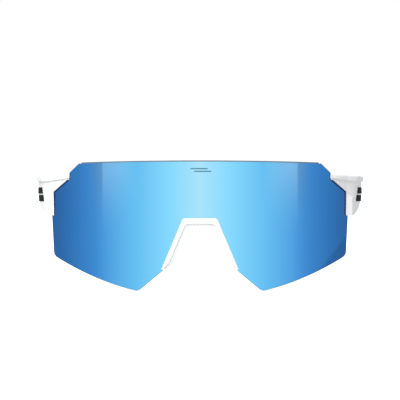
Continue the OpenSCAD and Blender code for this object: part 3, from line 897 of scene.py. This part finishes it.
    @staticmethod
    def seat(at, lens, end):
        """The flat seat on the flange that the front hinge leaf is screwed to."""
        flange_r = lens.radius - lens.thickness - end.flange_thickness
        turn = math.pi + math.asin((at.hinge.x - 3.4 * MM) / flange_r)
        along = Vector((math.cos(turn), math.sin(turn)))
        across = left_of(along)
        rings = []
        for u in stations(LEAF_START, LEAF_START + LEAF_LENGTH + 0.5 * MM, 1.5 * MM):
            foot = at.hinge + along * u
            spoke = (foot - Vector((0, lens.radius))).length
            reach = min(3 * MM, max(0.9 * MM, (flange_r + 0.5 * MM - spoke)))
            ring = []
            for q, z in rounded_block((LEAF_FACE, at.hinge_low - 0.5 * MM),
                                      (LEAF_FACE + reach, at.hinge_low + 9.5 * MM), 0.3 * MM):
                place = foot + across * q
                ring.append((place.x, place.y, z))
            rings.append(ring)
        return rings


# ---------------------------------------------------------------- arms
class GLASSES_OT_arms(bpy.types.Operator):
    """Loft the two arms, each with the rail along its top and the block for its hinge"""
    bl_idname = "glasses.arms"
    bl_label = "Arms"

    def execute(self, context):
        arm = context.scene.glasses_arm
        at = Places(context.scene)
        white = moulded_plastic("arm_plastic", context.scene.glasses_finish.white)
        outline = at.side_outline(arm.tip_radius - 0.2 * MM, arm.tip_radius - 0.2 * MM)
        places = stations(at.arm_y, at.rail_end + 4 * MM, 1.1 * MM)
        places += stations(at.rail_end + 5 * MM, at.sock_y + 1 * MM, 1.2 * MM)
        rings = [self.section(at, arm, outline, y) for y in places]
        for name, side in SIDES.items():
            piece("arm_" + name, rings_mesh(rings, side), "temple_" + name, [white],
                  ["temple_" + name], edges=(0.25 * MM, 3, 60))
            piece("hinge_block_" + name, rings_mesh(self.block(at, outline), side),
                  "temple_" + name, [white], edges=(0.3 * MM, 3, 60))
        return {"FINISHED"}

    @staticmethod
    def section(at, arm, outline, y):
        """One closed ring round the arm, up the inside, over the rail and down the outside."""
        foot, out = at.wall(y)
        low, high = at.side_span(outline, y)
        share = (y - at.arm_y) / (at.rail_end - at.arm_y)
        fade = swing((at.rail_end + 3 * MM - y) / (5 * MM))
        rail = arm.rail_out * fade
        rail_top = at.arm_top - 0.8 * MM * share
        top = high + (max(rail_top, high) - high) * fade
        rail_low = min(at.arm_top - arm.rail_height * (1 - 0.1 * share), top - 2 * MM)
        edge = arm.edge
        t = arm.thickness
        corners = [(-t, low, edge), (0, low, edge), (0, rail_low, 0.3 * MM * fade + 1e-5),
                   (rail, rail_low, 1.1 * MM * fade + 1e-5),
                   (rail, top, 1.2 * MM), (-t, top, edge)]
        ring = []
        for q, z in rounded(corners, 6):
            ring.append((foot.x + out.x * q, foot.y + out.y * q, z))
        return ring

    @staticmethod
    def block(at, outline):
        """The block inside the arm that the hinge leaf is screwed to."""
        low, high = 37.65 * MM, 47.85 * MM
        inner = 67.5 * MM
        rings = []
        for y in stations(at.arm_y, at.arm_y + 12.5 * MM, 1.2 * MM):
            foot, _ = at.wall(y)
            floor = max(low, at.side_span(outline, y)[0] + 0.2 * MM)
            ring = rounded_block((inner, floor), (foot.x - 1.6 * MM, high), 0.35 * MM)
            rings.append([(q, y, z) for q, z in ring])
        return rings


class GLASSES_OT_tips(bpy.types.Operator):
    """Loft the rubber tips that grip behind the ears"""
    bl_idname = "glasses.tips"
    bl_label = "Ear tips"

    def execute(self, context):
        arm = context.scene.glasses_arm
        at = Places(context.scene)
        rubber = soft_rubber("tip_rubber", context.scene.glasses_finish.rubber)
        outline = at.side_outline(arm.tip_radius, arm.tip_radius)
        cuts = []
        for y in stations(at.sock_y, at.ear.x + 6 * MM, 0.9 * MM):
            low, high = at.side_span(outline, y)
            cuts.append(((y, low), (y, high)))
        cuts += self.fan(at, arm, cuts[-1])
        rings = [self.section(at, arm, *cut, 12 < k < len(cuts) - 14 and k % 4 in (0, 1))
                 for k, cut in enumerate(cuts)]
        for name, side in SIDES.items():
            piece("ear_tip_" + name, rings_mesh(rings, side), "temple_" + name, [rubber],
                  ["temple_tip_" + name], edges=(0.4 * MM, 3, 60))
        return {"FINISHED"}

    @staticmethod
    def fan(at, arm, last):
        """Cuts square to the tip, from past the last upright one to the tip's round end."""
        down = left_of(at.tip_run)
        (y0, low0), (_, high0) = last
        r = arm.tip_radius
        start = (Vector((y0, (low0 + high0) / 2)) - at.tip_centre).dot(at.tip_run)
        out = []
        begin = at.tip_centre + at.tip_run * (start + 6 * MM)
        end = at.tip_centre
        count = 34
        for i in range(count + 1):
            mid = begin.lerp(end, i / count)
            out.append((mid - down * r, mid + down * r))
        steps = 10
        for i in range(1, steps):
            turn = math.pi / 2 * i / steps
            mid = end + at.tip_run * r * math.sin(turn)
            half = r * math.cos(turn)
            out.append((mid - down * half, mid + down * half))
        return out

    @staticmethod
    def section(at, arm, a, b, grooved):
        """One ring round the tip between the side view's points a and b."""
        a, b = Vector(a), Vector(b)
        tall = (b - a).length
        centre = (a + b) / 2
        up = (b - a).normalized()
        groove = GRIP_GROOVE if grooved else 0
        half = arm.tip_thickness / 2
        wide = half * min(1.0, 0.35 + 0.65 * min(1.0, tall / (3 * half)))
        radius = min(1.5 * MM, wide * 0.95, tall * 0.45)
        ring = []
        for q, s in rounded_block((-wide, -tall / 2), (wide, tall / 2), radius, 6):
            inner = q < 0 and abs(s) < tall / 2 - 1.4 * MM
            place = centre + up * s
            foot, out = at.wall(place.x)
            reach = -arm.thickness / 2 + q + (groove if inner else 0)
            ring.append((foot.x + out.x * reach, foot.y + out.y * reach, place.y))
        return ring


# ---------------------------------------------------------------- hard parts
class GLASSES_OT_finishes(bpy.types.Operator):
    """Give the pieces that come straight from the CAD model their finishes"""
    bl_idname = "glasses.finishes"
    bl_label = "Hard parts"

    def execute(self, context):
        tints = context.scene.glasses_finish
        # Painted shade: the seal's dark colour also fills in for the shade in the seam beside
        # the lens's notch
        seal = soft_rubber("dark_seal_and_seam_shade", tints.seal, 0.5, 0.1)
        steel = brushed_metal("hinge_steel", tints.steel, 0.28, (1, 1, 0.08))
        screw = brushed_metal("screw_steel", tints.screw, 0.25, (0.3, 1, 1))
        nylon = soft_rubber("washer_nylon", tints.nylon, 0.4)
        paint = printed_paint("badge_paint", tints.paint)
        table = {"lens_gasket": (seal, 0.08), "hinge_front_leaf": (steel, 0.12),
                 "hinge_temple_leaf": (steel, 0.12), "hinge_screw": (screw, 0.1),
                 "front_leaf_screws": (screw, 0.1), "temple_leaf_screws": (screw, 0.1),
                 "hinge_washers": (nylon, 0.05), "temple_badge": (paint, 0.06)}
        for name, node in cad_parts.items():
            if node.hide_render:
                continue
            kind = name.removesuffix("_left").removesuffix("_right")
            material, width = table[kind]
            node.data.materials.clear()
            node.data.materials.append(material)
            soften_edges(node, width * MM)
        return {"FINISHED"}


# ---------------------------------------------------------------- stage
CAMERA_LENS = 204.5
CAMERA_BACK, CAMERA_UP = 1000 * MM, 39.757 * MM
KEY_PLACE, KEY_SIZE, KEY_POWER = (-0.58, -0.97, 1.05), 0.9, 17.5
# The warm panels that shiny surfaces see, in degrees from straight ahead
PANEL_START, PANEL_FULL, PANEL_END, VEIL_END = 40, 64, 64.8, 76


class GLASSES_OT_stage(bpy.types.Operator):
    """Build the pale floor, the soft studio light and the camera"""
    bl_idname = "glasses.stage"
    bl_label = "Stage"

    def execute(self, context):
        scene = context.scene
        scene.view_settings.view_transform = "Standard"
        self.floor()
        self.surroundings(scene)
        self.lamp()
        camera = bpy.data.cameras.new("camera")
        camera.sensor_width = 36
        camera.lens = CAMERA_LENS
        camera.clip_start = 0.05
        holder = add_object("camera", camera)
        holder.location = PLACE @ Vector((0, -CAMERA_BACK, CAMERA_UP))
        holder.rotation_euler = (math.radians(90) - LEAN, 0, 0)
        scene.camera = holder
        return {"FINISHED"}

    @staticmethod
    def floor():
        """The pale floor, which the camera sees as plain white."""
        bm = bmesh.new()
        bmesh.ops.create_circle(bm, cap_ends=True, radius=0.5, segments=96)
        mesh = bpy.data.meshes.new("floor")
        bm.to_mesh(mesh)
        bm.free()
        made = add_object("floor", mesh)
        made.location.z = -0.0002
        finish = Finish("pale_floor")
        tone = finish.noise(6, 2).within(0.2, 0.8)
        shade = tone.mix((0.64, 0.64, 0.64), (0.62, 0.62, 0.62))
        seen = finish.node("ShaderNodeLightPath", (), (), "Is Camera Ray")
        finish.set(Base_Color=shade, Roughness=0.9, Specular_IOR_Level=0.0,
                   Emission_Color=seen.mix((0, 0, 0), (1, 1, 1)), Emission_Strength=1.0)
        mesh.materials.append(finish.material)

    @staticmethod
    def surroundings(scene):
        """A pale room, in which shiny surfaces also see a warm panel on each side."""
        world = bpy.data.worlds.new("studio")
        scene.world = world
        world.use_nodes = True
        tree = world.node_tree
        tree.nodes.clear()
        start = Flow(tree, None)
        level = start.node("ShaderNodeVectorRotate", {"rotation_type": "X_AXIS"},
                           {"Vector": start.node("ShaderNodeTexCoord", (), (), "Generated"),
                            "Angle": LEAN})
        degree = math.radians(1)
        around = start.maths("ARCTAN2", level.part(0).size(), 0 - level.part(1)) / degree
        rise = start.maths("ARCSINE", level.part(2)) / degree
        sides = around.within(PANEL_START, PANEL_FULL) * (PANEL_END - around > 0)
        fade = rise.within(-1.0, 0.75)
        panel = sides * fade * fade
        veil = around.within(VEIL_END, PANEL_END) * (around - PANEL_END > 0) * fade * fade
        back = 1 - around.within(60, 150) * 0.45
        plain = back.node("ShaderNodeCombineColor", (), {0: back, 1: back, 2: back})
        red, green, blue = panel * 1.7 + veil * 0.8, panel * 0.42, panel * 0.1 - veil * 0.2
        lit = back.node("ShaderNodeCombineColor", (), {0: red, 1: green, 2: blue})
        total = start.node("ShaderNodeVectorMath", {"operation": "ADD"}, {0: plain, 1: lit})
        glossy = start.node("ShaderNodeLightPath", (), (), "Is Glossy Ray")
        seen = start.node("ShaderNodeLightPath", (), (), "Is Camera Ray")
        tint = seen.mix(glossy.mix((0.7, 0.7, 0.702), total), (1, 1, 1))
        shine = start.node("ShaderNodeBackground", (), {"Color": tint, "Strength": 1.0})
        start.node("ShaderNodeOutputWorld", (), {"Surface": shine})

    @staticmethod
    def lamp():
        """A soft round lamp that isn't seen itself, aimed at the middle of the lens."""
        lamp = bpy.data.lights.new("key", "AREA")
        lamp.shape = "DISK"
        lamp.size = KEY_SIZE
        lamp.energy = KEY_POWER
        holder = add_object("key", lamp)
        holder.location = KEY_PLACE
        aim = Vector((0, -0.03, 0.03)) - Vector(KEY_PLACE)
        holder.rotation_euler = aim.to_track_quat("-Z", "Y").to_euler()
        holder.visible_glossy = False
        holder.visible_camera = False


OPERATORS = (GLASSES_OT_lens, GLASSES_OT_nose, GLASSES_OT_ends, GLASSES_OT_arms, GLASSES_OT_tips,
             GLASSES_OT_finishes, GLASSES_OT_stage)


class GLASSES_PT_panel(bpy.types.Panel):
    """Buttons for the pieces"""
    bl_idname = "GLASSES_PT_panel"
    bl_label = "Sunglasses"
    bl_space_type = "VIEW_3D"
    bl_region_type = "UI"
    bl_category = "Sunglasses"

    def draw(self, context):
        for operator in OPERATORS:
            self.layout.operator(operator.bl_idname)


CLASSES = (*SETTINGS.values(), *OPERATORS, GLASSES_PT_panel)


def register():
    for made in CLASSES:
        bpy.utils.register_class(made)
    for name, group in SETTINGS.items():
        setattr(bpy.types.Scene, name, PointerProperty(type=group))


def unregister():
    for name in SETTINGS:
        delattr(bpy.types.Scene, name)
    for made in reversed(CLASSES):
        bpy.utils.unregister_class(made)


def main():
    register()
    for operator in OPERATORS:
        group, name = operator.bl_idname.split(".")
        getattr(getattr(bpy.ops, group), name)()


if __name__ == "__main__":
    main()
